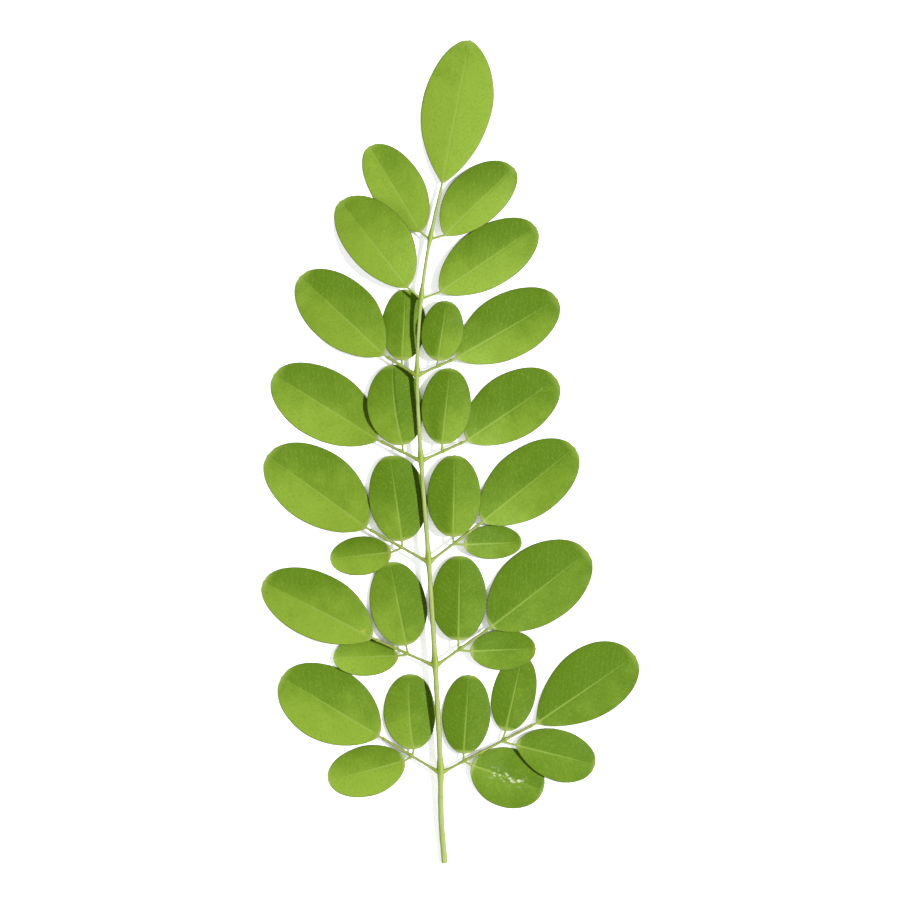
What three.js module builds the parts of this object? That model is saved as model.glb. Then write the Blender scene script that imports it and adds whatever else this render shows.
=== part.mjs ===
// Moringa leaf: one cut branch of the compound leaf, laid down on a flat surface.
// Millimetres. +Y runs from the cut end to the tip leaflet, +X to the right, +Z up.
// The origin lies on the surface, under the middle of the leaf.
import * as THREE from 'three';

// Driving dimensions: stems and joints
const RACHIS_CUT_DIAMETER = 1.0;
const RACHIS_TIP_DIAMETER = 0.5;
const RACHIS_HEADING = 90;
const NODE_SWELLING = 0.2;
const NODE_SPREAD = 1.1;
const STALK_DIAMETER = 0.46;
const STALK_DROP = 0.6;
const PETIOLULE_DIAMETER = 0.36;
const TIP_PETIOLULE = 0.6;
const END_PETIOLULE = 0.9;
const JOINT_GAP = 0.15;

// Driving dimensions: blades. The fold is how much a blade falls per millimetre beside its midrib,
// and the touchdown is the share of a leaflet's run at which its midrib meets the surface.
const BLADE_THICKNESS = 0.25;
const BLADE_TIP_HALF_WIDTH = 0.14;
const BLADE_FOLD = 0.08;
const TOUCHDOWN = 0.88;

// Mesh fineness
const STEM_SIDES = 8;
const RACHIS_RINGS = 44;
const STALK_RINGS = 5;
const BLADE_STATIONS = 12;

const UP = new THREE.Vector3(0, 0, 1);
const GREEN = new THREE.MeshStandardMaterial({ color: 0x86b03a, roughness: 0.55, metalness: 0 });
const PALE = new THREE.MeshStandardMaterial({ color: 0xb9cd6e, roughness: 0.5, metalness: 0 });
const STALK_GREEN = new THREE.MeshStandardMaterial({ color: 0x9cb84a, roughness: 0.5, metalness: 0 });

// The rachis from its cut end to the tip leaflet, with a swollen node at every pair.
const CUT_END = new THREE.Vector3(-0.9, -70, RACHIS_CUT_DIAMETER / 2);
const LOWER_BEND = new THREE.Vector3(-1.5, -62.5, 0.9);
const RACHIS_TOP = new THREE.Vector3(-1.5, 44.6, 1.2);
const NODES = {
  7: new THREE.Vector3(-1.6, -54.7, 1.5),
  6: new THREE.Vector3(-2.5, -36.5, 2.2),
  5: new THREE.Vector3(-3.6, -18.9, 2.5),
  4: new THREE.Vector3(-4.9, -1.7, 2.5),
  3: new THREE.Vector3(-5.6, 12.8, 2.4),
  2: new THREE.Vector3(-4.9, 25.8, 2.1),
  1: new THREE.Vector3(-3.4, 35.9, 1.7),
};

// How the blade's half width grows to its widest place and falls to its tip:
// widest is a share of the blade's length, and a bigger power is a leaner curve.
const ROUND_SIDE = { widest: 0.5, basePower: 0.66, tipPower: 0.5 };
const WEDGE_SIDE = { widest: 0.55, basePower: 0.74, tipPower: 0.52 };
const STEEP_SIDE = { widest: 0.5, basePower: 0.85, tipPower: 0.5 };
const LEAN_SIDE = { widest: 0.6, basePower: 0.84, tipPower: 0.5 };
const TIP_LEFT_SIDE = { widest: 0.52, basePower: 0.98, tipPower: 0.58 };
const TIP_RIGHT_SIDE = { widest: 0.57, basePower: 0.86, tipPower: 0.7 };
const OVAL_SIDE = { widest: 0.48, basePower: 0.54, tipPower: 0.5 };
const LOWER_SIDE = { widest: 0.5, basePower: 0.6, tipPower: 0.5 };

// Headings are degrees from +X toward +Y. A blade's skew is how much wider its half toward the
// leaf's tip is than the other half. Its bow shifts the midrib to the left of its heading, and
// its lift arches it upward, or lets it sag if negative.
const TIP_LEAFLET = { heading: 79, length: 25, width: 11.9, skew: 0 };

// Leaflets that grow straight from the rachis.
const RACHIS_LEAFLETS = [
  {
    name: 'leaflet_left_1', node: 1, petiolule: 1.9, leaves: 142,
    heading: 121, length: 17.2, width: 8.9, skew: 0.12, lift: -0.6,
  },
  {
    name: 'leaflet_right_1', node: 1, petiolule: 2.5, leaves: 16,
    heading: 44, length: 16.6, width: 9.3, skew: 0.2, lift: 0.5,
  },
  {
    name: 'leaflet_left_2', node: 2, petiolule: 2.9, leaves: 140,
    heading: 128, length: 18.8, width: 10.8, skew: 0.18, lift: 1.3,
  },
  {
    name: 'leaflet_right_2', node: 2, petiolule: 3.4, leaves: 20,
    heading: 34, length: 19.8, width: 10.3, skew: 0.08,
  },
];

// Side branches: a stalk, the leaflet at its end, and the leaflets along it.
const BRANCHES = [
  {
    side: 'left', pair: 3, heading: 148, length: 6.5,
    end: { heading: 137, length: 19.7, width: 11.4, skew: 0.06, upper: STEEP_SIDE },
    along: [{
      place: 'inner', at: 0.46, petiolule: 0.9, leaves: 92,
      heading: 87, length: 12.2, width: 7.4, tipHeight: 0.6, lift: -0.6,
    }],
  },
  {
    side: 'right', pair: 3, heading: 24, length: 7.2,
    end: { heading: 30, length: 20.1, width: 11.0, skew: 0.06, lift: -0.7, upper: STEEP_SIDE },
    along: [{
      place: 'inner', at: 0.52, petiolule: 0.9, leaves: 85,
      heading: 81, length: 10.4, width: 7.1, tipHeight: 1.9, lift: 0.3,
    }],
  },
  {
    side: 'left', pair: 4, heading: 154, length: 8.1,
    end: { heading: 148, length: 21.0, width: 11.9, skew: 0.04, lift: -1.2, upper: STEEP_SIDE },
    along: [{
      place: 'inner', at: 0.42, petiolule: 1.1, leaves: 95,
      heading: 97, length: 13.9, width: 9.4, bow: 0.5, tipHeight: 1.2, lift: 0.1,
    }],
  },
  {
    side: 'right', pair: 4, heading: 24, length: 8.4,
    end: { heading: 34, length: 18.7, width: 11.1, skew: 0.1, lift: -0.9 },
    along: [{
      place: 'inner', at: 0.46, petiolule: 1.2, leaves: 88,
      heading: 84, length: 13.1, width: 8.4, tipHeight: 1.2, lift: 0.5,
    }],
  },
  {
    side: 'left', pair: 5, heading: 151, length: 12.0,
    end: { heading: 144, length: 21.0, width: 12.6, skew: 0.11, lift: -0.6 },
    along: [
      {
        place: 'inner', at: 0.43, petiolule: 1.0, leaves: 90,
        heading: 98, length: 14.8, width: 9.8, skew: 0.06, tipHeight: 1.2, lift: 0.1,
      },
      {
        place: 'lower', at: 0.43, petiolule: 1.9, leaves: 204,
        heading: 187, length: 10.6, width: 6.6,
      },
    ],
  },
  {
    side: 'right', pair: 5, heading: 37, length: 11.3,
    end: { heading: 38.5, length: 20.3, width: 11.7, skew: 0.06, lift: -1 },
    along: [
      {
        place: 'inner', at: 0.46, petiolule: 1.1, leaves: 90,
        heading: 89, length: 14.0, width: 9.1, tipHeight: 1.2, lift: 0.4,
      },
      {
        place: 'lower', at: 0.46, petiolule: 1.7, leaves: -4,
        heading: 2, length: 10.0, width: 5.8, skew: 0.08, lift: -0.4,
      },
    ],
  },
  {
    side: 'left', pair: 6, heading: 156, length: 11.7,
    end: { heading: 153, length: 20.9, width: 11.2, skew: 0.1, lift: 0.2 },
    along: [
      {
        place: 'inner', at: 0.43, petiolule: 1.4, leaves: 104,
        heading: 101, length: 14.5, width: 9.6, tipHeight: 0.8,
      },
      {
        place: 'lower', at: 0.43, petiolule: 1.6, leaves: 192,
        heading: 182, length: 11.2, width: 6.5, tipHeight: 0.9, lift: -0.6, upper: WEDGE_SIDE,
      },
    ],
  },
  {
    side: 'right', pair: 6, heading: 35, length: 11.4,
    end: { heading: 37.5, length: 21.0, width: 13.1, skew: 0.1 },
    along: [
      {
        place: 'inner', at: 0.42, petiolule: 1.5, leaves: 90,
        heading: 89, length: 14.5, width: 9.3, tipHeight: 1.1, lift: 0.2,
      },
      {
        place: 'lower', at: 0.42, petiolule: 1.9, leaves: -7,
        heading: 2, length: 11.3, width: 6.9, tipHeight: 1, lift: -0.4,
      },
    ],
  },
  {
    side: 'left', pair: 7, heading: 149, length: 12.1,
    end: { heading: 149, length: 19.5, width: 12.7, skew: 0.02 },
    along: [
      {
        place: 'inner', at: 0.46, petiolule: 1.1, leaves: 80,
        heading: 93, length: 12.9, width: 8.8, bow: 0.4, tipHeight: 0.4,
      },
      {
        place: 'lower', at: 0.46, petiolule: 1.4, leaves: 210,
        heading: 195, length: 13.6, width: 8.6, bow: 0.1,
      },
    ],
  },
  {
    side: 'right', pair: 7, heading: 27.5, length: 18.3,
    end: { heading: 34, length: 20.4, width: 11.9, skew: 0.1, upper: LEAN_SIDE, lower: LEAN_SIDE },
    along: [
      {
        place: 'inner_a', at: 0.24, petiolule: 1.2, leaves: 90,
        heading: 86, length: 13.5, width: 8.2, tipHeight: 0.4,
      },
      {
        place: 'inner_b', at: 0.64, petiolule: 1.8, leaves: 70,
        heading: 77, length: 13.2, width: 7.4, lift: -0.3,
      },
      {
        place: 'lower_a', at: 0.24, petiolule: 1.4, leaves: -25,
        heading: -20, length: 13.1, width: 10.1, lift: -0.3,
      },
      {
        place: 'lower_b', at: 0.64, petiolule: 2.4, leaves: -15,
        heading: -14, length: 14.0, width: 8.7, tipHeight: 0.5, lift: 0.2, lower: LEAN_SIDE,
      },
    ],
  },
];

const leaf = new THREE.Group();

function direction(degrees) {
  const angle = THREE.MathUtils.degToRad(degrees);
  return new THREE.Vector3(Math.cos(angle), Math.sin(angle), 0);
}

function addMesh(name, geometry, material) {
  const mesh = new THREE.Mesh(geometry, material);
  mesh.name = name;
  leaf.add(mesh);
}

// How far along its own line a stem must start, so that its round end clears the stem it leaves.
function clearance(parentRadius, ownRadius, parentHeading, ownHeading) {
  const turn = THREE.MathUtils.degToRad(ownHeading - parentHeading);
  return (parentRadius + ownRadius * Math.abs(Math.cos(turn))) / Math.abs(Math.sin(turn)) + JOINT_GAP;
}

// A round stem along a curve: a cylinder whose rings follow the curve, each with its own radius.
function stemGeometry(curve, radiusAt, rings) {
  const geometry = new THREE.CylinderGeometry(1, 1, 1, STEM_SIDES, rings);
  const vertex = geometry.getAttribute('position');
  for (let i = 0; i < vertex.count; i++) {
    const t = vertex.getY(i) + 0.5;
    const tangent = curve.getTangentAt(t);
    const across = tangent.clone().cross(UP).normalize();
    const above = across.clone().cross(tangent);
    const place = curve.getPointAt(t);
    place.addScaledVector(across, vertex.getX(i) * radiusAt(t));
    place.addScaledVector(above, vertex.getZ(i) * radiusAt(t));
    vertex.setXYZ(i, place.x, place.y, place.z);
  }
  return geometry;
}

// The rachis tapers evenly and swells smoothly round each node.
function rachisRadius(place) {
  const share = (place.y - CUT_END.y) / (RACHIS_TOP.y - CUT_END.y);
  let radius = THREE.MathUtils.lerp(RACHIS_CUT_DIAMETER, RACHIS_TIP_DIAMETER, share) / 2;
  for (const node of Object.values(NODES)) {
    radius += NODE_SWELLING * Math.exp(-(((place.y - node.y) / NODE_SPREAD) ** 2));
  }
  return radius;
}

function makeRachis() {
  const nodes = [7, 6, 5, 4, 3, 2, 1].map((pair) => NODES[pair]);
  const route = [CUT_END, LOWER_BEND, ...nodes, RACHIS_TOP];
  const curve = new THREE.CatmullRomCurve3(route, false, 'centripetal');
  const radiusAt = (t) => rachisRadius(curve.getPointAt(t));
  addMesh('rachis', stemGeometry(curve, radiusAt, RACHIS_RINGS), PALE);
}

// Share of the full half width at s, from 0 at the blade's base to 1 at its tip.
function halfWidthShare(s, side) {
  if (s < side.widest) {
    return (1 - (1 - s / side.widest) ** 2) ** side.basePower;
  }
  return (1 - ((s - side.widest) / (1 - side.widest)) ** 2) ** side.tipPower;
}

// A leaflet: its own short stalk (petiolule), which opens into the blade. The box's first segment
// is the petiolule and the rest is the blade, with its stations crowded toward both ends.
// The blade falls from its stalk to the surface and folds down a little beside the midrib.
function leafletGeometry({ start, base, heading, length, width, bow, tipHeight, lift, left, right }) {
  const ahead = direction(heading);
  const aside = UP.clone().cross(ahead);
  const leadAhead = base.clone().sub(start).dot(ahead);
  const leadAside = base.clone().sub(start).dot(aside);
  const geometry = new THREE.BoxGeometry(1, 1, 1, BLADE_STATIONS, 2, 1);
  const vertex = geometry.getAttribute('position');
  for (let i = 0; i < vertex.count; i++) {
    const station = Math.round((vertex.getX(i) + 0.5) * BLADE_STATIONS);
    const across = vertex.getY(i) * 2;
    const onBlade = station > 0;
    const turn = Math.PI * Math.max(0, station - 1) / (BLADE_STATIONS - 1);
    const s = (1 - Math.cos(turn)) / 2;
    const side = across > 0 ? left : right;
    const least = THREE.MathUtils.lerp(PETIOLULE_DIAMETER / 2, BLADE_TIP_HALF_WIDTH, s);
    const half = Math.max(least, onBlade ? halfWidthShare(s, side) * side.reach * width / 2 : 0);
    const run = onBlade ? leadAhead + s * length : 0;
    const midrib = onBlade ? leadAside + 4 * bow * s * (1 - s) : 0;
    const fallen = run / (leadAhead + length);
    const thickness = station < 2 ? PETIOLULE_DIAMETER : BLADE_THICKNESS;
    let height = THREE.MathUtils.lerp(start.z, tipHeight, Math.min(1, fallen / TOUCHDOWN));
    height += lift * Math.sin(Math.PI * fallen) - BLADE_FOLD * Math.abs(across) * half;
    height = Math.max(height, thickness / 2) + vertex.getZ(i) * thickness;
    const place = start.clone().setZ(height);
    place.addScaledVector(ahead, run);
    place.addScaledVector(aside, midrib + across * half);
    vertex.setXYZ(i, place.x, place.y, place.z);
  }
  return geometry;
}

// Adds a leaflet. The upper side of its blade faces the leaf's tip and the lower side its cut end,
// so on a leaflet that points left, the left side is the lower one.
function addLeaflet(name, start, base, spec, upperSide, lowerSide) {
  const { skew = 0, upper = upperSide, lower = lowerSide } = spec;
  const wide = { ...upper, reach: 1 + skew };
  const narrow = { ...lower, reach: 1 - skew };
  const sides = spec.heading > 90 ? { left: narrow, right: wide } : { left: wide, right: narrow };
  const resting = { bow: 0, lift: 0, tipHeight: BLADE_THICKNESS / 2 };
  addMesh(name, leafletGeometry({ ...resting, ...spec, ...sides, start, base }), GREEN);
}

function makeTipLeaflet() {
  const outward = direction(TIP_LEAFLET.heading);
  const start = RACHIS_TOP.clone().addScaledVector(outward, JOINT_GAP);
  const base = start.clone().addScaledVector(outward, TIP_PETIOLULE);
  addLeaflet('leaflet_tip', start, base, TIP_LEAFLET, TIP_LEFT_SIDE, TIP_RIGHT_SIDE);
}

function makeRachisLeaflets() {
  for (const spec of RACHIS_LEAFLETS) {
    const joint = NODES[spec.node];
    const outward = direction(spec.leaves);
    const clear = clearance(rachisRadius(joint), PETIOLULE_DIAMETER / 2, RACHIS_HEADING, spec.leaves);
    const start = joint.clone().addScaledVector(outward, clear);
    const base = joint.clone().addScaledVector(outward, spec.petiolule);
    addLeaflet(spec.name, start, base, spec, ROUND_SIDE, WEDGE_SIDE);
  }
}

// The leaflets along a stalk start beside it, just clear of its surface.
function makeLeafletsAlong(branch, label, root, outward) {
  for (const spec of branch.along) {
    const joint = root.clone().addScaledVector(outward, spec.at * branch.length);
    joint.z -= STALK_DROP * spec.at;
    const own = PETIOLULE_DIAMETER / 2;
    const clear = clearance(STALK_DIAMETER / 2, own, branch.heading, spec.leaves);
    const leaves = direction(spec.leaves);
    const start = joint.clone().addScaledVector(leaves, clear);
    const base = joint.clone().addScaledVector(leaves, Math.max(spec.petiolule, clear + JOINT_GAP));
    const shape = spec.place.startsWith('inner') ? OVAL_SIDE : LOWER_SIDE;
    addLeaflet(`leaflet_${label}_${spec.place}`, start, base, spec, shape, shape);
  }
}

function makeBranch(branch) {
  const label = `${branch.side}_${branch.pair}`;
  const root = NODES[branch.pair];
  const outward = direction(branch.heading);
  const radius = STALK_DIAMETER / 2;
  const clear = clearance(rachisRadius(root), radius, RACHIS_HEADING, branch.heading);
  const start = root.clone().addScaledVector(outward, clear);
  const tip = root.clone().addScaledVector(outward, branch.length - END_PETIOLULE);
  tip.z -= STALK_DROP;
  const line = new THREE.LineCurve3(start, tip);
  addMesh(`stalk_${label}`, stemGeometry(line, () => radius, STALK_RINGS), STALK_GREEN);

  const endStart = tip.clone().addScaledVector(outward, JOINT_GAP);
  const endBase = tip.clone().addScaledVector(outward, END_PETIOLULE);
  addLeaflet(`leaflet_${label}_end`, endStart, endBase, branch.end, ROUND_SIDE, WEDGE_SIDE);
  makeLeafletsAlong(branch, label, root, outward);
}

makeRachis();
makeTipLeaflet();
makeRachisLeaflets();
BRANCHES.forEach(makeBranch);

export default leaf;
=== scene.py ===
"""A moringa leaf lying on a pale floor: its rachis, side stalks and thirty-three leaflets."""

import bpy
import numpy as np
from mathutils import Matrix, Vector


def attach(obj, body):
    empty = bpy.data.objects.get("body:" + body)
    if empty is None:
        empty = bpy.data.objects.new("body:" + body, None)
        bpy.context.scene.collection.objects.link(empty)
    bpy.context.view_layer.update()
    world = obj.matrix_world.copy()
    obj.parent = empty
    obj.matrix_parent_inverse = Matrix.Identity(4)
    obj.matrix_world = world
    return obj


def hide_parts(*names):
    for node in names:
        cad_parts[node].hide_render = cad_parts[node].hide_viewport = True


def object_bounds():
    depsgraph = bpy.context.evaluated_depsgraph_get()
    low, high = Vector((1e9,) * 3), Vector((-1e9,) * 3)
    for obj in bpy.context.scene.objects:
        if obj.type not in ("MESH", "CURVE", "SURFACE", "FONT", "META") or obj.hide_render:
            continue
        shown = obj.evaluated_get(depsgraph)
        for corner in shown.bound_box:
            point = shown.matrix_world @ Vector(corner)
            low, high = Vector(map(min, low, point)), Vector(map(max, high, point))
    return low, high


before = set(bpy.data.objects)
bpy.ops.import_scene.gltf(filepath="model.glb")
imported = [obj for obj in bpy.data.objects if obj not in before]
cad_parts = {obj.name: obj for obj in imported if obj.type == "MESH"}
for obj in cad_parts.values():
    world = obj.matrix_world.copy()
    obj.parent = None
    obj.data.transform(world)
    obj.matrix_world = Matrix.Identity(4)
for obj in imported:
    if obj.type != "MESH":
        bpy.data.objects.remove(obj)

cad_low, cad_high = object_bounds()
scene = bpy.context.scene
scene.view_settings.view_transform = "Standard"


# ---------------------------------------------------------------- the camera
# It looks straight down from far above, so the leaf is seen flat and almost without perspective.
# The leaf's tip is at the top of its view.
CAMERA_HEIGHT = 1.0      # metres above the floor
SENSOR_WIDTH = 36.0      # mm
SEEN_WIDTH = 1.098       # width of the view, as a share of the leaf's length
SHIFT_X = 0.0003         # metres, from the middle of the leaf's box to the middle of the view
SHIFT_Y = -0.0001

leaf_length = cad_high.y - cad_low.y
view_x = (cad_low.x + cad_high.x) / 2 + SHIFT_X
view_y = (cad_low.y + cad_high.y) / 2 + SHIFT_Y
camera_data = bpy.data.cameras.new("camera")
camera_data.sensor_width = SENSOR_WIDTH
camera_data.lens = SENSOR_WIDTH * CAMERA_HEIGHT / (SEEN_WIDTH * leaf_length)
camera = bpy.data.objects.new("camera", camera_data)
camera.location = (view_x, view_y, CAMERA_HEIGHT)
scene.collection.objects.link(camera)
scene.camera = camera


# ---------------------------------------------------------------- the rachis
# The leaf's main axis, a firm green stem cut off at its lower end. It tapers toward the tip leaflet,
# swells at every node where a pair of stalks leaves it, and has a shallow groove along its top
# between two low ridges, with fine fibres all along.
MM = 0.001
RACHIS_ROWS = 620        # rings along it
RACHIS_SIDES = 28        # corners round each ring
GROOVE_DEPTH = 0.10      # share of the radius
GROOVE_WIDTH = 0.38      # radians
RIDGE_HEIGHT = 0.05      # share of the radius
RIDGE_PLACE = 0.75       # radians from the middle of the top
RIDGE_WIDTH = 0.3        # radians
NODE_SWELLING = 0.18 * MM
NODE_SPREAD = 1.3 * MM
CUT_RINGS = np.array([0.25, 0.6, 0.88])          # shares of the radius, from the cut face's middle
CUT_DISH = np.array([0.0, 0.01, 0.01]) * MM      # how far these rings stand out
CLOSING_RINGS = np.array([0.9, 0.6, 0.2])        # shares of the radius, past the upper end
CLOSING_STEPS = np.array([0.06, 0.12, 0.16]) * MM
CUT_EDGE = (0.42, 0.50, 0.20, 1.0)
PITH = (0.66, 0.68, 0.42, 1.0)


def corners(node):
    """The different vertices of a CAD node's mesh, as an array of points in metres."""
    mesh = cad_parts[node].data
    found = np.empty(len(mesh.vertices) * 3)
    mesh.vertices.foreach_get("co", found)
    return np.unique(found.reshape(-1, 3).round(7), axis=0)


def stem_line(node):
    """Centres and radii of a CAD stem's rings. The rings hold eight vertices each, and the two
    at the ends one more, so the vertices sorted along the stem fall into rings in order."""
    points = corners(node)
    middle = points.mean(0)
    axis = np.linalg.svd(points - middle, full_matrices=False)[2][0]
    points = points[np.argsort((points - middle) @ axis)]
    rings = np.split(points, np.arange(9, len(points) - 9 + 1, 8))
    centres = np.array([ring.mean(0) for ring in rings])
    radii = np.array([np.linalg.norm(ring - ring.mean(0), axis=1).max() for ring in rings])
    return centres, radii


def resampled(path, count):
    """The path's points spread evenly: arc length runs from end to end, and each coordinate is
    a Catmull-Rom cubic of the point before, the two beside it and the one after."""
    steps = np.linalg.norm(np.diff(path, axis=0), axis=1)
    length = np.concatenate(([0.0], np.cumsum(steps)))
    at = np.linspace(0, length[-1], count)
    left = np.clip(np.searchsorted(length, at, side="right") - 1, 0, len(path) - 2)
    t = ((at - length[left]) / steps[left])[:, None]
    before, first = path[np.maximum(left - 1, 0)], path[left]
    second, after = path[left + 1], path[np.minimum(left + 2, len(path) - 1)]
    return 0.5 * (
        2 * first + (second - before) * t + (2 * before - 5 * first + 4 * second - after) * t**2
        + (3 * first - before - 3 * second + after) * t**3
    )


def unit(vectors):
    """The same vectors with length 1."""
    return vectors / np.linalg.norm(vectors, axis=-1, keepdims=True)


def foot_on(path, start, beyond):
    """The point of a path that a stem grows from: of the path's points, the one nearest in plan to
    the line from beyond through start, with the distance from start as a small tie-break."""
    line = unit((beyond - start)[:2])
    offset = (path - start)[:, :2]
    beside = np.abs(offset[:, 0] * line[1] - offset[:, 1] * line[0])
    return path[(beside + 0.15 * np.linalg.norm(path - start, axis=1)).argmin()]


def frames_along(path):
    """Two directions for each point of a path: toward its left, level, and upward, square to both."""
    ahead = unit(np.gradient(path, axis=0))
    left = unit(np.cross([0.0, 0.0, 1.0], ahead))
    return left, np.cross(ahead, left)


def add_surface(name, grid, poles, values, uv, material):
    """A closed surface from a grid of points, rows by columns. The columns close on themselves, and
    a pole closes the first and the last row. values holds one array per attribute, and uv the map."""
    rows, columns = grid.shape[:2]
    points = np.concatenate((grid.reshape(-1, 3), poles))
    here = np.arange(rows * columns).reshape(rows, columns)
    beside = np.roll(here, -1, axis=1)
    quads = np.stack((here[:-1], here[1:], beside[1:], beside[:-1]), axis=-1).reshape(-1, 4)
    first, last = np.full(columns, rows * columns), np.full(columns, rows * columns + 1)
    first_cap = np.stack((first, here[0], beside[0]), axis=-1)
    last_cap = np.stack((last, beside[-1], here[-1]), axis=-1)
    mesh = bpy.data.meshes.new(name)
    mesh.from_pydata(points.tolist(), [], quads.tolist() + first_cap.tolist() + last_cap.tolist())
    mesh.polygons.foreach_set("use_smooth", np.ones(len(mesh.polygons), bool))
    for label, array in values.items():
        ends = np.array([array[0].mean(), array[-1].mean()])
        kept = mesh.attributes.new(label, "FLOAT", "POINT")
        kept.data.foreach_set("value", np.concatenate((array.ravel(), ends)).astype(np.float32))
    corner = np.empty(len(mesh.loops), int)
    mesh.loops.foreach_get("vertex_index", corner)
    flat = np.concatenate((uv.reshape(-1, 2), uv[[0, -1]].mean(1)))
    mesh.uv_layers.new(name="surface").data.foreach_set("uv", flat[corner].ravel())
    mesh.materials.append(material)
    mesh.update()
    piece = bpy.data.objects.new(name, mesh)
    scene.collection.objects.link(piece)
    return piece


def add_node(tree, kind, inputs=None, **settings):
    """One shader node. inputs gives each named or numbered socket a value or another node's output."""
    made = tree.nodes.new(kind)
    for key, value in settings.items():
        setattr(made, key, value)
    for key, value in (inputs or {}).items():
        if isinstance(value, bpy.types.NodeSocket):
            tree.links.new(value, made.inputs[key])
        else:
            made.inputs[key].default_value = value
    return made


def calc(tree, operation, *values):
    """One arithmetic step on sockets or numbers."""
    return add_node(tree, "ShaderNodeMath", dict(enumerate(values)), operation=operation).outputs[0]


def ramp(tree, value, start, end):
    """0 at start and 1 at end, smoothly between."""
    inputs = {"Value": value, "From Min": start, "From Max": end}
    return add_node(tree, "ShaderNodeMapRange", inputs, interpolation_type="SMOOTHSTEP").outputs[0]


def mix(tree, share, first, second):
    """A blend of two colours."""
    return add_node(tree, "ShaderNodeMix", {0: share, 6: first, 7: second}, data_type="RGBA").outputs[2]


def noise(tree, vector, scale, detail=3.0):
    """Cloudy noise from 0 to 1."""
    inputs = {"Vector": vector, "Scale": scale, "Detail": detail, "Roughness": 0.55}
    return add_node(tree, "ShaderNodeTexNoise", inputs).outputs["Fac"]


def attribute(tree, label):
    """The value of one of the piece's own attributes."""
    return add_node(tree, "ShaderNodeAttribute", attribute_name=label).outputs["Fac"]


def stem_material(name, middle, flank_shade, joint, fibre):
    """Soft waxy skin over fibres. The colour goes from the ridge along the middle of the top to
    the darker flanks, a painted shade, the joints are greener, and the cut face is pale pith inside a
    greener edge."""
    material = bpy.data.materials.new(name)
    material.use_nodes = True
    tree = material.node_tree
    shader = tree.nodes["Principled BSDF"]
    # painted shade: the stem darker on its flanks than along its top
    rim = ramp(tree, attribute(tree, "flank_shade"), 0.35, 0.95)
    uv = add_node(tree, "ShaderNodeUVMap", uv_map="surface").outputs["UV"]
    stretched = add_node(tree, "ShaderNodeMapping", {0: uv, 3: (9.0, 0.5, 1.0)}).outputs[0]
    fibres = noise(tree, stretched, 1.0)
    cloud = noise(tree, add_node(tree, "ShaderNodeTexCoord").outputs["Object"], 900.0)
    colour = mix(tree, rim, middle, flank_shade)
    colour = mix(tree, ramp(tree, fibres, 0.48, 0.72), colour, fibre)
    colour = mix(tree, calc(tree, "MULTIPLY", ramp(tree, cloud, 0.45, 0.75), 0.35), colour, flank_shade)
    colour = mix(tree, calc(tree, "MULTIPLY", attribute(tree, "joint"), 0.85), colour, joint)
    cut = attribute(tree, "cut")
    colour = mix(tree, ramp(tree, cut, 0.05, 0.3), colour, CUT_EDGE)
    colour = mix(tree, ramp(tree, cut, 0.45, 0.8), colour, PITH)
    tree.links.new(colour, shader.inputs["Base Color"])
    shader.inputs["Roughness"].default_value = 0.5
    shader.inputs["Specular IOR Level"].default_value = 0.4
    height = calc(tree, "ADD", fibres, calc(tree, "MULTIPLY", cloud, 0.5))
    bump = add_node(tree, "ShaderNodeBump", {"Height": height, "Strength": 0.35, "Distance": 0.00005})
    tree.links.new(bump.outputs[0], shader.inputs["Normal"])
    return material


def stem_surface(name, path, radii, swelling, cut, sides, material):
    """A stem along a path. Round it, the angle counts from its right over its top. There the radius
    is the stem's own times 1, less a groove on the top, plus two ridges beside it. Away from the
    joints both are full. Two slow waves along it, of 2.2% and 1.5%, make it a little uneven."""
    left, up = frames_along(path)
    angle = np.linspace(0, 2 * np.pi, sides, endpoint=False)
    away = np.abs(angle - np.pi / 2)
    groove = GROOVE_DEPTH * np.exp(-((away / GROOVE_WIDTH) ** 2))
    ridges = RIDGE_HEIGHT * np.exp(-(((away - RIDGE_PLACE) / RIDGE_WIDTH) ** 2))
    run = np.concatenate(([0.0], np.cumsum(np.linalg.norm(np.diff(path, axis=0), axis=1)))) / MM
    uneven = 0.022 * np.sin(run * 1.9)[:, None] * np.cos(2 * angle + 0.4)
    uneven = uneven + 0.015 * np.sin(run * 0.83 + 1.0)[:, None] * np.cos(3 * angle)
    calm = 1 - np.clip(swelling, 0, 1)[:, None]
    radius = radii[:, None] * (1 + calm * (ridges - groove) + uneven)
    grid = path[:, None] - left[:, None] * (np.cos(angle) * radius)[..., None]
    grid = grid + up[:, None] * (np.sin(angle) * radius)[..., None]
    # how far round to the side, which sets the painted shade on the flanks
    flank_shade = np.broadcast_to(np.abs(np.cos(angle)), radius.shape)
    values = {
        "flank_shade": flank_shade,
        "joint": np.broadcast_to(np.clip(swelling, 0, 1)[:, None], radius.shape),
        "cut": np.broadcast_to(cut[:, None], radius.shape),
    }
    uv = np.stack(np.broadcast_arrays(-np.cos(angle), run[:, None]), axis=-1)
    return add_surface(name, grid, path[[0, -1]], values, uv, material)


rachis_rings, rachis_radii = stem_line("rachis")
if rachis_rings[0, 1] > rachis_rings[-1, 1]:
    rachis_rings, rachis_radii = rachis_rings[::-1], rachis_radii[::-1]
rachis_path = resampled(rachis_rings, RACHIS_ROWS)
stalk_names = sorted(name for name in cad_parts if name.startswith("stalk"))
rachis_leaflets = ["leaflet_left_1", "leaflet_right_1", "leaflet_left_2", "leaflet_right_2"]
rachis_share = np.linspace(0, 1, RACHIS_ROWS)
rachis_radius = rachis_radii[0] + (rachis_radii[-1] - rachis_radii[0]) * rachis_share
swelling = np.zeros(RACHIS_ROWS)
for name in stalk_names + rachis_leaflets:
    apart = np.linalg.norm(corners(name)[:, None] - rachis_path, axis=-1)
    joint_place = rachis_path[apart.min(0).argmin()]
    distance = np.linalg.norm(rachis_path - joint_place, axis=1)
    swelling = np.maximum(swelling, np.exp(-((distance / NODE_SPREAD) ** 2)))
rachis_radius = rachis_radius + NODE_SWELLING * swelling

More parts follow.
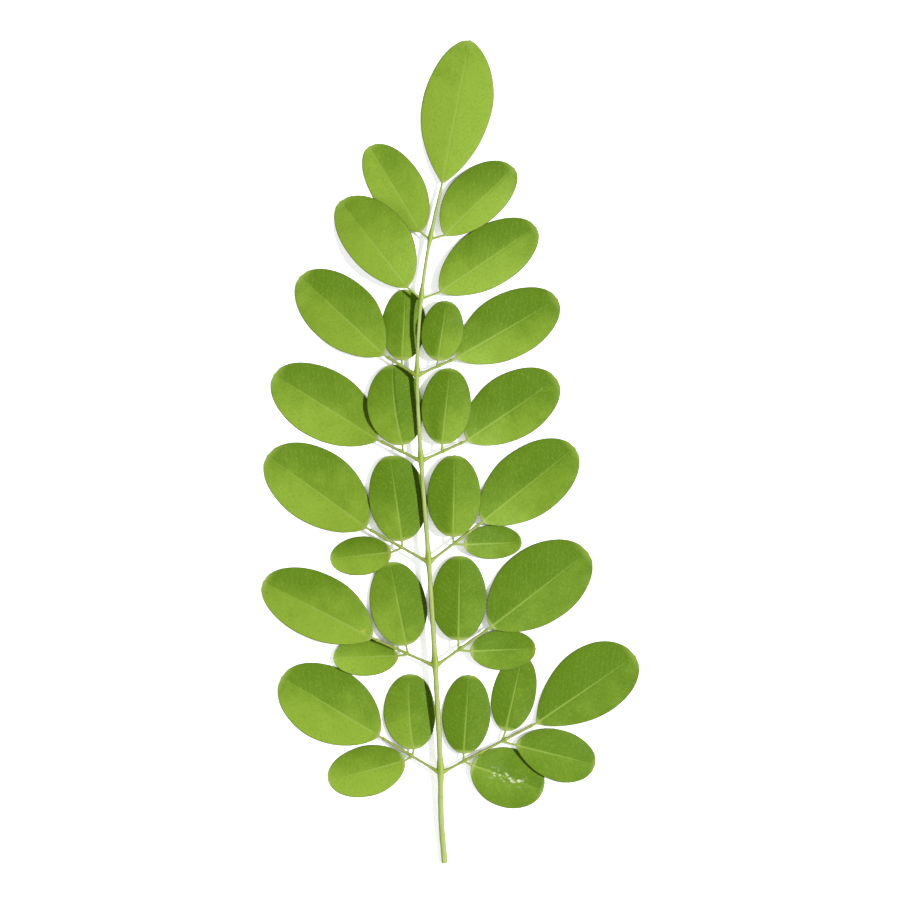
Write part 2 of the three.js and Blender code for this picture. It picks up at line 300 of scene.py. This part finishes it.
# Three more rings make the cut face at the lower end, and three close the upper end to a point.
path = np.concatenate((np.repeat(rachis_path[:1], 3, 0), rachis_path, np.repeat(rachis_path[-1:], 3, 0)))
path[:3, 1] -= CUT_DISH
path[-3:] += unit(rachis_path[-1] - rachis_path[-2]) * CLOSING_STEPS[:, None]
radii = np.concatenate((CUT_RINGS * rachis_radius[0], rachis_radius, CLOSING_RINGS * rachis_radius[-1]))
swell = np.concatenate((np.zeros(3), swelling, np.full(3, swelling[-1])))
cut = np.concatenate((1 - CUT_RINGS * 0.9, np.zeros(RACHIS_ROWS + 3)))
rachis_skin = stem_material(
    "rachis_skin",
    middle=(0.37, 0.45, 0.125, 1.0),
    flank_shade=(0.21, 0.27, 0.045, 1.0),
    joint=(0.25, 0.37, 0.02, 1.0),
    fibre=(0.30, 0.385, 0.08, 1.0),
)
rachis = stem_surface("rachis_stem", path, radii, swell, cut, RACHIS_SIDES, rachis_skin)
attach(rachis, "root")
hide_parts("rachis")


# ---------------------------------------------------------------- the side stalks
# Ten thin stalks leave the rachis in pairs and carry the side leaflets. They are grown from it:
# each one starts inside the rachis, is flared at its foot and swells a little at its own joints.
STALK_ROWS = 150         # rings along it
STALK_SIDES = 20         # corners round each ring
STALK_FLARE = 1.0        # extra radius at the foot, as a share of the stalk's own
STALK_FLARE_REACH = 1.105 * MM
STALK_OVERRUN = 0.3 * MM   # how far it runs on into the end leaflet's base
JOINT_SWELLING = 0.30    # extra radius at a leaflet's joint, as a share of the stalk's own
JOINT_SPREAD = 0.45 * MM
END_RADIUS = 0.3         # share of the radius at both ends, before the closing point
END_ROUNDING = 40        # the full radius comes within this part of the length

stalk_skin = stem_material(
    "stalk_skin",
    middle=(0.30, 0.37, 0.075, 1.0),
    flank_shade=(0.14, 0.185, 0.025, 1.0),
    joint=(0.26, 0.36, 0.03, 1.0),
    fibre=(0.21, 0.27, 0.04, 1.0),
)
stem_paths = {"rachis": rachis_path}
for name in stalk_names:
    rings, ring_radii = stem_line(name)
    reach = np.linalg.norm(rings[[0, -1]][:, None] - rachis_path, axis=-1)
    if reach[0].min() > reach[1].min():
        rings = rings[::-1]
    foot = foot_on(rachis_path, rings[0], rings[-1])
    beyond = rings[-1] + unit(rings[-1] - rings[0]) * STALK_OVERRUN
    path = resampled(np.concatenate((foot[None], rings, beyond[None])), STALK_ROWS)
    stem_paths[name] = path
    distance = np.linalg.norm(path - foot, axis=1)
    swell = np.exp(-((distance / STALK_FLARE_REACH) ** 2))
    radii = ring_radii.mean() * (1 + STALK_FLARE * swell)
    side = name.replace("stalk", "leaflet")
    for leaflet in (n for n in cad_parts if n.startswith(side)):
        apart = np.linalg.norm(corners(leaflet)[:, None] - path, axis=-1).min(0)
        nearest = path[apart.argmin()]
        bulge = np.exp(-((np.linalg.norm(path - nearest, axis=1) / JOINT_SPREAD) ** 2))
        radii = radii + JOINT_SWELLING * ring_radii.mean() * bulge
        swell = np.maximum(swell, bulge)
    closing = np.clip(END_RADIUS + np.linspace(0, END_ROUNDING, STALK_ROWS), 0, 1)
    radii = radii * closing * closing[::-1]
    uncut = np.zeros(STALK_ROWS)
    stalk = stem_surface(name + "_stem", path, radii, swell, uncut, STALK_SIDES, stalk_skin)
    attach(stalk, "root")
    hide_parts(name)


# ---------------------------------------------------------------- the leaflets
# Thirty-three thin soft blades, each on a short stalk of its own (petiolule). The midrib is sunk a
# little on top and stands out below, with side veins that lean forward to a thin darker edge.
# Each blade is one surface with its petiolule, which grows out of the stem that carries it.
BLADE_THICKNESS = 0.15 * MM
PETIOLULE_RADIUS = 0.17 * MM
PETIOLULE_ARCH = 0.03 * MM
OPENING = 1.5 * MM       # from the base, the round petiolule flattens into the blade
WIDENING = 0.3 * MM      # and it takes on the blade's width sooner
TIP_POINT = 0.02 * MM    # how far the tip stands out
LOWEST = 0.01 * MM       # least height above the floor
BLADE_ROWS = 104
PETIOLULE_ROWS = 14
HALF_COLUMNS = 34        # columns across the top, and as many across the underside
BUNCHING = 0.68          # how much closer the columns stand at the midrib and the margins
EDGE_POWER = 9           # the thickness holds almost to the margin
DROOP_POWER = 1.35       # the margins bend down more than the middle
RIPPLE = 0.003           # unevenness of the outline, as a share of the half width
WAVE = 0.045             # mm that the margins rise and fall
BUCKLE = 0.03            # mm that the halves rise and fall
RIB_RADIUS = 0.15        # mm at the base
RIB_SINK = 0.035         # mm that the midrib is sunk on top
RIB_BULGE = 0.9          # share of its radius by which it stands out below
VEIN_SPACING = 1.15      # mm along the midrib
VEIN_LEAN = 0.85         # mm forward for each mm away from the midrib
VEIN_WIDTH = 0.22        # mm
VEIN_BULGE = 0.03        # mm by which a side vein stands out below
QUILTING = 0.008         # mm by which the blade swells between the side veins
GOLDEN_ANGLE = 2.399     # radians, which sets each leaflet's waves apart from the others'

# the deep and the light green are the two ends of the leaflet's tone, which holds painted light and shade as
# well as its own colour
DEEP_GREEN = (0.098, 0.196, 0.004, 1.0)
LIGHT_GREEN = (0.24, 0.378, 0.032, 1.0)
SPECK_GREEN = (0.085, 0.17, 0.003, 1.0)
GLINT_GREEN = (0.24, 0.36, 0.04, 1.0)
VEIN_GREEN = (0.26, 0.37, 0.05, 1.0)
NET_GREEN = (0.24, 0.36, 0.06, 1.0)
RIB_GREEN = (0.28, 0.40, 0.065, 1.0)
EDGE_OLIVE = (0.125, 0.155, 0.03, 1.0)
TIP_GREEN = (0.27, 0.38, 0.06, 1.0)
STEM_GREEN = (0.29, 0.38, 0.08, 1.0)
SCUFF_GREY = (0.60, 0.64, 0.44, 1.0)
CREASE_SHADE_GREEN = (0.045, 0.10, 0.004, 1.0)
BRUISE_YELLOW = (0.44, 0.43, 0.06, 1.0)
DOT_BROWN = (0.05, 0.08, 0.005, 1.0)
UNDER_GREEN = (0.20, 0.30, 0.09, 1.0)
UNDER_VEIN = (0.33, 0.42, 0.17, 1.0)
UNDER_NET = (0.28, 0.38, 0.13, 1.0)
UNDER_RIB = (0.40, 0.48, 0.20, 1.0)
UNDER_CLOUD = (0.17, 0.27, 0.07, 1.0)


def blade_stations(node):
    """The CAD leaflet's thirteen stations from the petiolule's start to the blade's tip. In plan each
    station is square to the blade's heading, so the heading is the direction along which the
    vertices fall into thirteen tight groups of six. Returns the heading, and each station's
    distance ahead, its three sideways places and its three heights (right, middle, left)."""
    points = corners(node)
    plan = points[:, :2]
    main = np.linalg.svd(plan - plan.mean(0), full_matrices=False)[2][0]
    angles = np.arctan2(main[1], main[0]) + np.radians(np.arange(-16, 16, 0.02))
    headings = np.column_stack((np.cos(angles), np.sin(angles)))
    spread = np.ptp(np.sort(plan @ headings.T, axis=0).reshape(13, 6, -1), axis=1).sum(0)
    ahead = headings[spread.argmin()]
    stations = points[np.argsort(plan @ ahead)].reshape(13, 6, 3)
    if np.ptp(stations[0, :, 2]) < np.ptp(stations[-1, :, 2]):
        ahead = -ahead
        stations = stations[::-1]
    aside = np.array([-ahead[1], ahead[0]])
    sideways = stations[..., :2] @ aside
    order = np.argsort(sideways, axis=1)
    sideways = np.take_along_axis(sideways, order, 1).reshape(13, 3, 2).mean(-1)
    heights = np.take_along_axis(stations[..., 2], order, 1).reshape(13, 3, 2).mean(-1)
    return ahead, (stations[..., :2] @ ahead).mean(1), sideways, heights


def sine_profile(values, turn):
    """A smooth curve through equally spaced values: the straight line between the end ones, plus
    the sine series that passes through the rest. turn runs from 0 to pi over the values."""
    place = np.linspace(0, 1, len(values))
    line = values[0] + (values[-1] - values[0]) * place
    terms = np.arange(1, len(values) - 1)
    weights = np.linalg.solve(np.sin(np.pi * np.outer(place[1:-1], terms)), (values - line)[1:-1])
    return values[0] + (values[-1] - values[0]) * turn / np.pi + np.sin(np.outer(turn, terms)) @ weights


def smoothstep(value, start, end):
    """0 at start and 1 at end, smoothly between."""
    t = np.clip((value - start) / (end - start), 0, 1)
    return t * t * (3 - 2 * t)


def leaflet_surface(name, index, material):
    """The leaflet's closed surface. Along it, turn goes from 0 at the blade's base to pi at its tip,
    and the share of its length is s = (1 - cos turn) / 2. Across it, u goes from -1 at the right
    margin to 1 at the left one, over the top and back below. The outline is a sine series in turn
    for each side, the midrib a third-degree curve sideways and a fifth-degree one in height, and the
    margins fall below it by another series. The top sinks along the midrib and the underside bulges
    there and at the side veins. In mm, a is the distance from the midrib and y the one from the base."""
    ahead, along, sideways, heights = blade_stations(name)
    aside = np.array([-ahead[1], ahead[0]])
    turn = np.linspace(0, np.pi, BLADE_ROWS)
    s = (1 - np.cos(turn)) / 2
    known = (along[1:] - along[1]) / (along[-1] - along[1])
    length = along[-1] - along[1]
    tip_fade = 1 - 0.85 * smoothstep(s, 0.985, 1.0)
    right = sine_profile(sideways[1:, 1] - sideways[1:, 0], turn) * tip_fade
    left = sine_profile(sideways[1:, 2] - sideways[1:, 1], turn) * tip_fade
    drop_right = sine_profile(heights[1:, 1] - heights[1:, 0], turn)
    drop_left = sine_profile(heights[1:, 1] - heights[1:, 2], turn)
    middle = np.polynomial.Polynomial.fit(known, sideways[1:, 1], 3)(s)
    level = np.polynomial.Polynomial.fit(known, heights[1:, 1], 5)(s)

    # the centre line, from inside the stem that carries the leaflet, through the petiolule, to the tip
    start = np.append(ahead * along[0] + aside * sideways[0, 1], heights[0, 1])
    near = min(stem_paths.values(), key=lambda line: np.linalg.norm(line - start, axis=1).min())
    foot = foot_on(near, start, np.append(ahead * along[1] + aside * sideways[1, 1], heights[1, 1]))
    blade = (along[1] + s * length)[:, None] * ahead + middle[:, None] * aside
    blade = np.column_stack((blade, level))
    share = np.linspace(0, 1, PETIOLULE_ROWS, endpoint=False)[:, None]
    stalk = foot + (blade[0] - foot) * share
    stalk[:, 2] += np.sin(np.pi * share[:, 0]) * PETIOLULE_ARCH
    line = np.concatenate((stalk, blade))
    rows = len(line)
    first = unit((blade[0] - foot)[:2])
    first_aside = np.array([-first[1], first[0]])
    distance = np.concatenate((np.full(PETIOLULE_ROWS, 0.0), s * length))
    into = smoothstep(np.arange(rows), PETIOLULE_ROWS * 0.4, PETIOLULE_ROWS + 4)[:, None]
    across_line = unit(first_aside * (1 - into) + aside * into)

    # the section: a round petiolule that opens into the flat blade
    x = np.linspace(-1, 1, HALF_COLUMNS + 1)
    x = np.concatenate((x, x[-2:0:-1]))
    face = np.concatenate((np.ones(HALF_COLUMNS + 1), -np.ones(HALF_COLUMNS - 1)))
    u = x - BUNCHING * np.sin(2 * np.pi * x) / (2 * np.pi)
    pad = np.zeros(PETIOLULE_ROWS)
    half_left = np.concatenate((pad + PETIOLULE_RADIUS, left))[:, None]
    half_right = np.concatenate((pad + PETIOLULE_RADIUS, right))[:, None]
    half = np.where(u > 0, half_left, half_right)
    fall_left = np.concatenate((pad, drop_left))[:, None]
    fall_right = np.concatenate((pad, drop_right))[:, None]
    fall = np.where(u > 0, fall_left, fall_right)
    open_share = smoothstep(distance, 0.0, OPENING)[:, None]
    seed = index * GOLDEN_ANGLE
    s_all = np.concatenate((pad, s))[:, None]
    ripple = 1 + RIPPLE * np.sin(s_all * 17 + seed * 3)
    flat_across = u * half * ripple
    a = np.abs(flat_across) / MM
    y = distance[:, None] / MM
    rib_radius = RIB_RADIUS * (1 - s_all) ** 0.7 + 0.03
    rib = np.exp(-((a / (rib_radius * 1.5)) ** 2))
    behind = y - VEIN_LEAN * a * (1 - 0.02 * a)
    phase = (behind + 0.35 * np.sin(a * 1.1 + seed) + np.sign(u) * 0.35) / VEIN_SPACING
    vein = np.exp(-(((phase - np.round(phase)) * VEIN_SPACING / VEIN_WIDTH) ** 2))
    margin = np.minimum(half - np.abs(flat_across), length - distance[:, None]) / MM
    fade = smoothstep(margin, 0.2, 1.6) * open_share
    wave = WAVE * np.sin(y * 0.55 + seed) * u**2
    wave = wave + BUCKLE * np.sin(y * 0.9 + 2.1 * seed) * np.sin(np.pi * u)
    quilt = QUILTING * (1 - vein) * fade
    thin = 0.5 * BLADE_THICKNESS / MM * np.sqrt(np.clip(1 - np.abs(u) ** EDGE_POWER, 0, 1))
    thin = thin * (0.75 + 0.25 * fade)
    top = thin - RIB_SINK * rib * fade + quilt
    below = thin + rib_radius * RIB_BULGE * rib * open_share + VEIN_BULGE * vein * fade - quilt
    body = -fall * np.abs(u) ** DROOP_POWER + wave * open_share * MM
    flat_height = body + np.where(face > 0, top, -below) * MM
    round_radius = PETIOLULE_RADIUS * (1 + 0.25 * np.exp(-((np.arange(rows) / 5.0) ** 2)))[:, None]
    round_across = round_radius * np.sin(np.pi * x / 2)
    round_height = round_radius * np.cos(np.pi * x / 2) * face
    spread = smoothstep(distance, 0.0, WIDENING)[:, None]
    sideways_grid = round_across * (1 - spread) + flat_across * spread
    raised = round_height * (1 - open_share) + flat_height * open_share
    grid = np.zeros((rows, len(u), 3))
    grid[..., :2] = line[:, None, :2] + across_line[:, None] * sideways_grid[..., None]
    grid[..., 2] = np.maximum(line[:, None, 2] + raised, np.where(face > 0, 3, 1) * LOWEST)
    tip = grid[-1].mean(0)
    tip[:2] += ahead * TIP_POINT

    # what the material reads. A high tone is light and yellow, a low one deep green. The tone holds painted
    # light and shade: the half toward the leaf's cut end is lighter than the other, and one half beside the
    # midrib is lighter than the other. The youngest leaflets, near the tip, are lightest in their own colour
    toward_cut = (grid[..., 1].mean() - grid[..., 1]) / np.ptp(grid[..., 1])
    lower = -1.0 if ahead[0] < 0 else 1.0
    young = smoothstep(line[-1, 1], 0.2 * leaf_length, 0.5 * leaf_length)
    height_on_leaf = line[-1, 1] / (0.5 * leaf_length)
    own = 0.30 if "inner" in name else 0.65
    if "right" in name:
        own = (0.22 if "inner" in name else 0.34) + 0.22 * height_on_leaf
    # painted light and shade: lighter toward the cut end, and one half beside the midrib lighter than the
    # other
    slope = 0.5 + 0.9 * height_on_leaf if "right" in name else 0.8
    tone_and_shade = own + 0.5 * young + slope * toward_cut - 0.13 * lower * np.sign(u) * smoothstep(a, 0.0, 0.35)
    # painted shade: a soft darker band down the left half of each right inner leaflet
    if "right" in name and "inner" in name:
        tone_and_shade = tone_and_shade - 0.3 * np.exp(-(((u - 0.5) / 0.2) ** 2)) * fade
    dice = np.sin(index * 12.9898) * 43758.5453      # its part after the point differs for each leaflet
    values = {
        "tone_and_shade": tone_and_shade,
        "margin": np.maximum(margin, 0),
        "reach": np.broadcast_to(s_all, grid.shape[:2]),
        "opened": np.broadcast_to(open_share, grid.shape[:2]),
        "under": np.broadcast_to((face < 0).astype(float), grid.shape[:2]),
        "self": np.full(grid.shape[:2], dice - np.floor(dice)),
    }
    centre_line = np.exp(-((a / 0.7) ** 2))
    scuffed = "right_7_lower_a" in name
    values["scuff"] = scuffed * centre_line * smoothstep(s_all, 0.2, 0.35) * smoothstep(s_all, 0.8, 0.65)
    # a crease in one leaflet, drawn as a thin line of painted shade beside the midrib
    creased = "left_4_inner" in name
    fold = np.exp(-(((flat_across / MM + 0.28) / 0.1) ** 2))
    values["crease_shade"] = creased * fold * smoothstep(s_all, 0.3, 0.5) * smoothstep(s_all, 1.0, 0.9)
    bruised = "left_6_end" in name
    spot = np.exp(-(((a - 0.35) / 0.3) ** 2) - ((y - 1.9) / 0.3) ** 2)
    values["bruise"] = bruised * spot * (u < 0)
    side_map = np.where(u > 0, 1, -1) * a
    uv = np.stack((side_map, np.broadcast_to(y, side_map.shape)), axis=-1)
    return add_surface(name + "_blade", grid, np.array([foot, tip]), values, uv, material)


def leaf_material():
    """Thin green leaf: two tones for the halves beside the midrib, which are painted light and shade, clouds
    and specks, a pale midrib that fades toward the tip, side veins with a fine net between them, and a thin
    darker edge."""
    material = bpy.data.materials.new("leaflet_skin")
    material.use_nodes = True
    tree = material.node_tree
    shader = tree.nodes["Principled BSDF"]
    uv = add_node(tree, "ShaderNodeUVMap", uv_map="surface").outputs["UV"]
    place = add_node(tree, "ShaderNodeTexCoord").outputs["Object"]
    parts = add_node(tree, "ShaderNodeSeparateXYZ", {0: uv}).outputs
    a = calc(tree, "ABSOLUTE", parts["X"])
    cloud = noise(tree, place, 260.0)
    fine = noise(tree, place, 2800.0, 3.0)
    margin, reach = attribute(tree, "margin"), attribute(tree, "reach")
    under, own = attribute(tree, "under"), attribute(tree, "self")

    # the tone, partly the leaf's own colour and partly painted light and shade, with clouds in it and a
    # little more or less for each leaflet, and fine specks
    clouds = calc(tree, "MULTIPLY", calc(tree, "SUBTRACT", cloud, 0.5), 0.7)
    tone_and_shade = calc(tree, "ADD", attribute(tree, "tone_and_shade"), clouds)
    tone_and_shade = calc(tree, "ADD", tone_and_shade, calc(tree, "MULTIPLY", calc(tree, "SUBTRACT", own, 0.5), 0.22))
    colour = mix(tree, ramp(tree, tone_and_shade, 0.0, 1.0), DEEP_GREEN, LIGHT_GREEN)
    speck = calc(tree, "MULTIPLY", ramp(tree, fine, 0.45, 0.75), 0.3)
    colour = mix(tree, speck, colour, SPECK_GREEN)
    glint = calc(tree, "MULTIPLY", ramp(tree, fine, 0.46, 0.28), 0.3)
    colour = mix(tree, glint, colour, GLINT_GREEN)

    # side veins: lines that lean forward and wander a little, and between them a fine net
    lean = calc(tree, "SUBTRACT", parts["Y"], calc(tree, "MULTIPLY", a, VEIN_LEAN))
    lean = calc(tree, "ADD", lean, calc(tree, "MULTIPLY", noise(tree, uv, 0.7, 2.0), 2.2))
    step = calc(tree, "FRACT", calc(tree, "DIVIDE", lean, VEIN_SPACING))
    off = calc(tree, "ABSOLUTE", calc(tree, "SUBTRACT", step, 0.5))
    inner = ramp(tree, margin, 0.25, 1.6)
    vein = calc(tree, "MULTIPLY", ramp(tree, off, 0.11, 0.015), inner)
    inputs = {"Vector": uv, "Scale": 2.3}
    cells = add_node(tree, "ShaderNodeTexVoronoi", inputs, feature="DISTANCE_TO_EDGE").outputs[0]
    net = ramp(tree, cells, 0.12, 0.0)
    colour = mix(tree, calc(tree, "MULTIPLY", vein, 0.16), colour, VEIN_GREEN)
    colour = mix(tree, calc(tree, "MULTIPLY", net, 0.10), colour, NET_GREEN)

    # midrib, edge, tip and petiolule
    width = calc(tree, "MULTIPLY_ADD", reach, -0.10, 0.16)
    rib = calc(tree, "SUBTRACT", 1.0, ramp(tree, calc(tree, "DIVIDE", a, width), 0.2, 1.8))
    rib = calc(tree, "MULTIPLY", rib, ramp(tree, reach, 1.2, 0.3))
    colour = mix(tree, calc(tree, "MULTIPLY", rib, 0.75), colour, RIB_GREEN)
    rim = ramp(tree, calc(tree, "ADD", margin, calc(tree, "MULTIPLY", cloud, 0.10)), 0.24, 0.10)
    colour = mix(tree, calc(tree, "MULTIPLY", rim, 0.75), colour, EDGE_OLIVE)
    tip = calc(tree, "MULTIPLY", ramp(tree, reach, 0.93, 1.0), 0.7)
    colour = mix(tree, tip, colour, TIP_GREEN)
    stem = ramp(tree, attribute(tree, "opened"), 0.7, 0.1)
    colour = mix(tree, stem, colour, STEM_GREEN)

    # marks of handling: pale scuffs, a crease drawn as a dark line of painted shade, a yellow bruise and a
    # few tiny dark dots
    squeezed = add_node(tree, "ShaderNodeMapping", {0: uv, 3: (1.6, 0.9, 1.0)}).outputs[0]
    scratch = ramp(tree, noise(tree, squeezed, 1.0, 4.0), 0.52, 0.60)
    scratch = calc(tree, "MULTIPLY", attribute(tree, "scuff"), scratch)
    colour = mix(tree, scratch, colour, SCUFF_GREY)
    crease_shade = calc(tree, "MULTIPLY", attribute(tree, "crease_shade"), 0.75)
    colour = mix(tree, crease_shade, colour, CREASE_SHADE_GREEN)
    colour = mix(tree, attribute(tree, "bruise"), colour, BRUISE_YELLOW)
    dots = add_node(tree, "ShaderNodeTexVoronoi", {"Vector": place, "Scale": 170.0})
    chosen = add_node(tree, "ShaderNodeSeparateColor", {0: dots.outputs["Color"]}).outputs[0]
    dot = ramp(tree, dots.outputs["Distance"], 0.05, 0.02)
    dot = calc(tree, "MULTIPLY", dot, ramp(tree, chosen, 0.80, 0.82))
    colour = mix(tree, calc(tree, "MULTIPLY", dot, 0.8), colour, DOT_BROWN)

    # the underside is paler, greyer and duller, and its veins stand out
    pale = mix(tree, calc(tree, "MULTIPLY", vein, 0.5), UNDER_GREEN, UNDER_VEIN)
    pale = mix(tree, calc(tree, "MULTIPLY", net, 0.25), pale, UNDER_NET)
    pale = mix(tree, calc(tree, "MULTIPLY", rib, 0.9), pale, UNDER_RIB)
    pale = mix(tree, calc(tree, "MULTIPLY", cloud, 0.3), pale, UNDER_CLOUD)
    pale = mix(tree, stem, pale, STEM_GREEN)
    colour = mix(tree, under, colour, pale)
    tree.links.new(colour, shader.inputs["Base Color"])
    tree.links.new(calc(tree, "MULTIPLY_ADD", fine, 0.2, 0.46), shader.inputs["Roughness"])
    shader.inputs["Specular IOR Level"].default_value = 0.12
    height = calc(tree, "ADD", calc(tree, "MULTIPLY", vein, -0.6), calc(tree, "MULTIPLY", net, -0.25))
    height = calc(tree, "ADD", height, calc(tree, "MULTIPLY", fine, 0.5))
    bump = add_node(tree, "ShaderNodeBump", {"Height": height, "Strength": 0.4, "Distance": 0.00006})
    tree.links.new(bump.outputs[0], shader.inputs["Normal"])
    return material


leaflet_skin = leaf_material()
for index, name in enumerate(sorted(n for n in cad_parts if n.startswith("leaflet"))):
    leaflet = leaflet_surface(name, index, leaflet_skin)
    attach(leaflet, "root")
    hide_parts(name)


# ---------------------------------------------------------------- the floor
# A plain pale sheet, flat under and around the leaf and rising into a backdrop far away on every side.
# It glows a little in place of the studio's fill light, but not where the leaf covers it closely.
FLOOR_FLAT = 1.6         # metres from the middle
FLOOR_REACH = 3.2
FLOOR_RISE = 0.45
FLOOR_RINGS = 48
FLOOR_SIDES = 96
FLOOR_COLOUR = (0.80, 0.80, 0.81, 1.0)
FILL_COLOUR = (0.98, 0.98, 1.0, 1.0)
FILL_STRENGTH = 0.66
FILL_REACH = 4 * MM      # how near the leaf has to be to keep the fill light off
FILL_SAMPLES = 8

radius = np.linspace(0, FLOOR_REACH, FLOOR_RINGS + 1)[1:, None]
around = np.linspace(0, 2 * np.pi, FLOOR_SIDES, endpoint=False)
rise = FLOOR_RISE * np.clip((radius - FLOOR_FLAT) / (FLOOR_REACH - FLOOR_FLAT), 0, 1) ** 2
points = np.stack(np.broadcast_arrays(radius * np.cos(around), radius * np.sin(around), rise), -1)
here = np.arange(FLOOR_RINGS * FLOOR_SIDES).reshape(FLOOR_RINGS, FLOOR_SIDES)
beside = np.roll(here, -1, axis=1)
quads = np.stack((here[:-1], here[1:], beside[1:], beside[:-1]), -1).reshape(-1, 4)
centre = np.full(FLOOR_SIDES, here.size)
fan = np.stack((centre, here[0], beside[0]), -1)
points = np.concatenate((points.reshape(-1, 3), np.zeros((1, 3))))
floor_mesh = bpy.data.meshes.new("floor")
floor_mesh.from_pydata(points.tolist(), [], quads.tolist() + fan.tolist())
floor_mesh.polygons.foreach_set("use_smooth", np.ones(len(floor_mesh.polygons), bool))
floor = bpy.data.objects.new("floor", floor_mesh)
scene.collection.objects.link(floor)
floor_paint = bpy.data.materials.new("floor_paint")
floor_paint.use_nodes = True
floor_tree = floor_paint.node_tree
paint = floor_tree.nodes["Principled BSDF"]
paint.inputs["Base Color"].default_value = FLOOR_COLOUR
paint.inputs["Roughness"].default_value = 0.9
paint.inputs["Specular IOR Level"].default_value = 0.1
paint.inputs["Emission Color"].default_value = FILL_COLOUR
open_sky = add_node(floor_tree, "ShaderNodeAmbientOcclusion", {"Distance": FILL_REACH}, samples=FILL_SAMPLES)
glow = calc(floor_tree, "MULTIPLY", ramp(floor_tree, open_sky.outputs["AO"], 0.15, 0.6), FILL_STRENGTH)
floor_tree.links.new(glow, paint.inputs["Emission Strength"])
floor_mesh.materials.append(floor_paint)


# ---------------------------------------------------------------- the light
# One clear light from the right, a broad soft one from beyond the cut end, and a dim even sky.
SUN_ENERGY = 4.0
SUN_ELEVATION = np.radians(52)
SUN_BEARING = np.radians(4)      # from +X toward +Y
SUN_SIZE = np.radians(4)
SOFT_POWER = 2.8                 # watts
SOFT_SIZE = 0.7                  # metres across
SOFT_PLACE = (-0.25, -0.9, 0.55)
SOFT_TILT = np.radians(59)
SOFT_TURN = np.radians(-15.5)
SKY_COLOUR = (0.97, 0.98, 1.0, 1.0)
SKY_STRENGTH = 0.16

sun_data = bpy.data.lights.new("sun", "SUN")
sun_data.energy = SUN_ENERGY
sun_data.angle = SUN_SIZE
sun = bpy.data.objects.new("sun", sun_data)
sun.rotation_euler = (0.0, np.pi / 2 - SUN_ELEVATION, SUN_BEARING)
scene.collection.objects.link(sun)

soft_data = bpy.data.lights.new("soft_light", "AREA")
soft_data.shape = "DISK"
soft_data.size = SOFT_SIZE
soft_data.energy = SOFT_POWER
soft = bpy.data.objects.new("soft_light", soft_data)
soft.location = SOFT_PLACE
soft.rotation_euler = (SOFT_TILT, 0.0, SOFT_TURN)
soft.visible_camera = False
scene.collection.objects.link(soft)

world = bpy.data.worlds.new("sky")
world.use_nodes = True
sky = world.node_tree.nodes["Background"]
sky.inputs["Color"].default_value = SKY_COLOUR
sky.inputs["Strength"].default_value = SKY_STRENGTH
scene.world = world
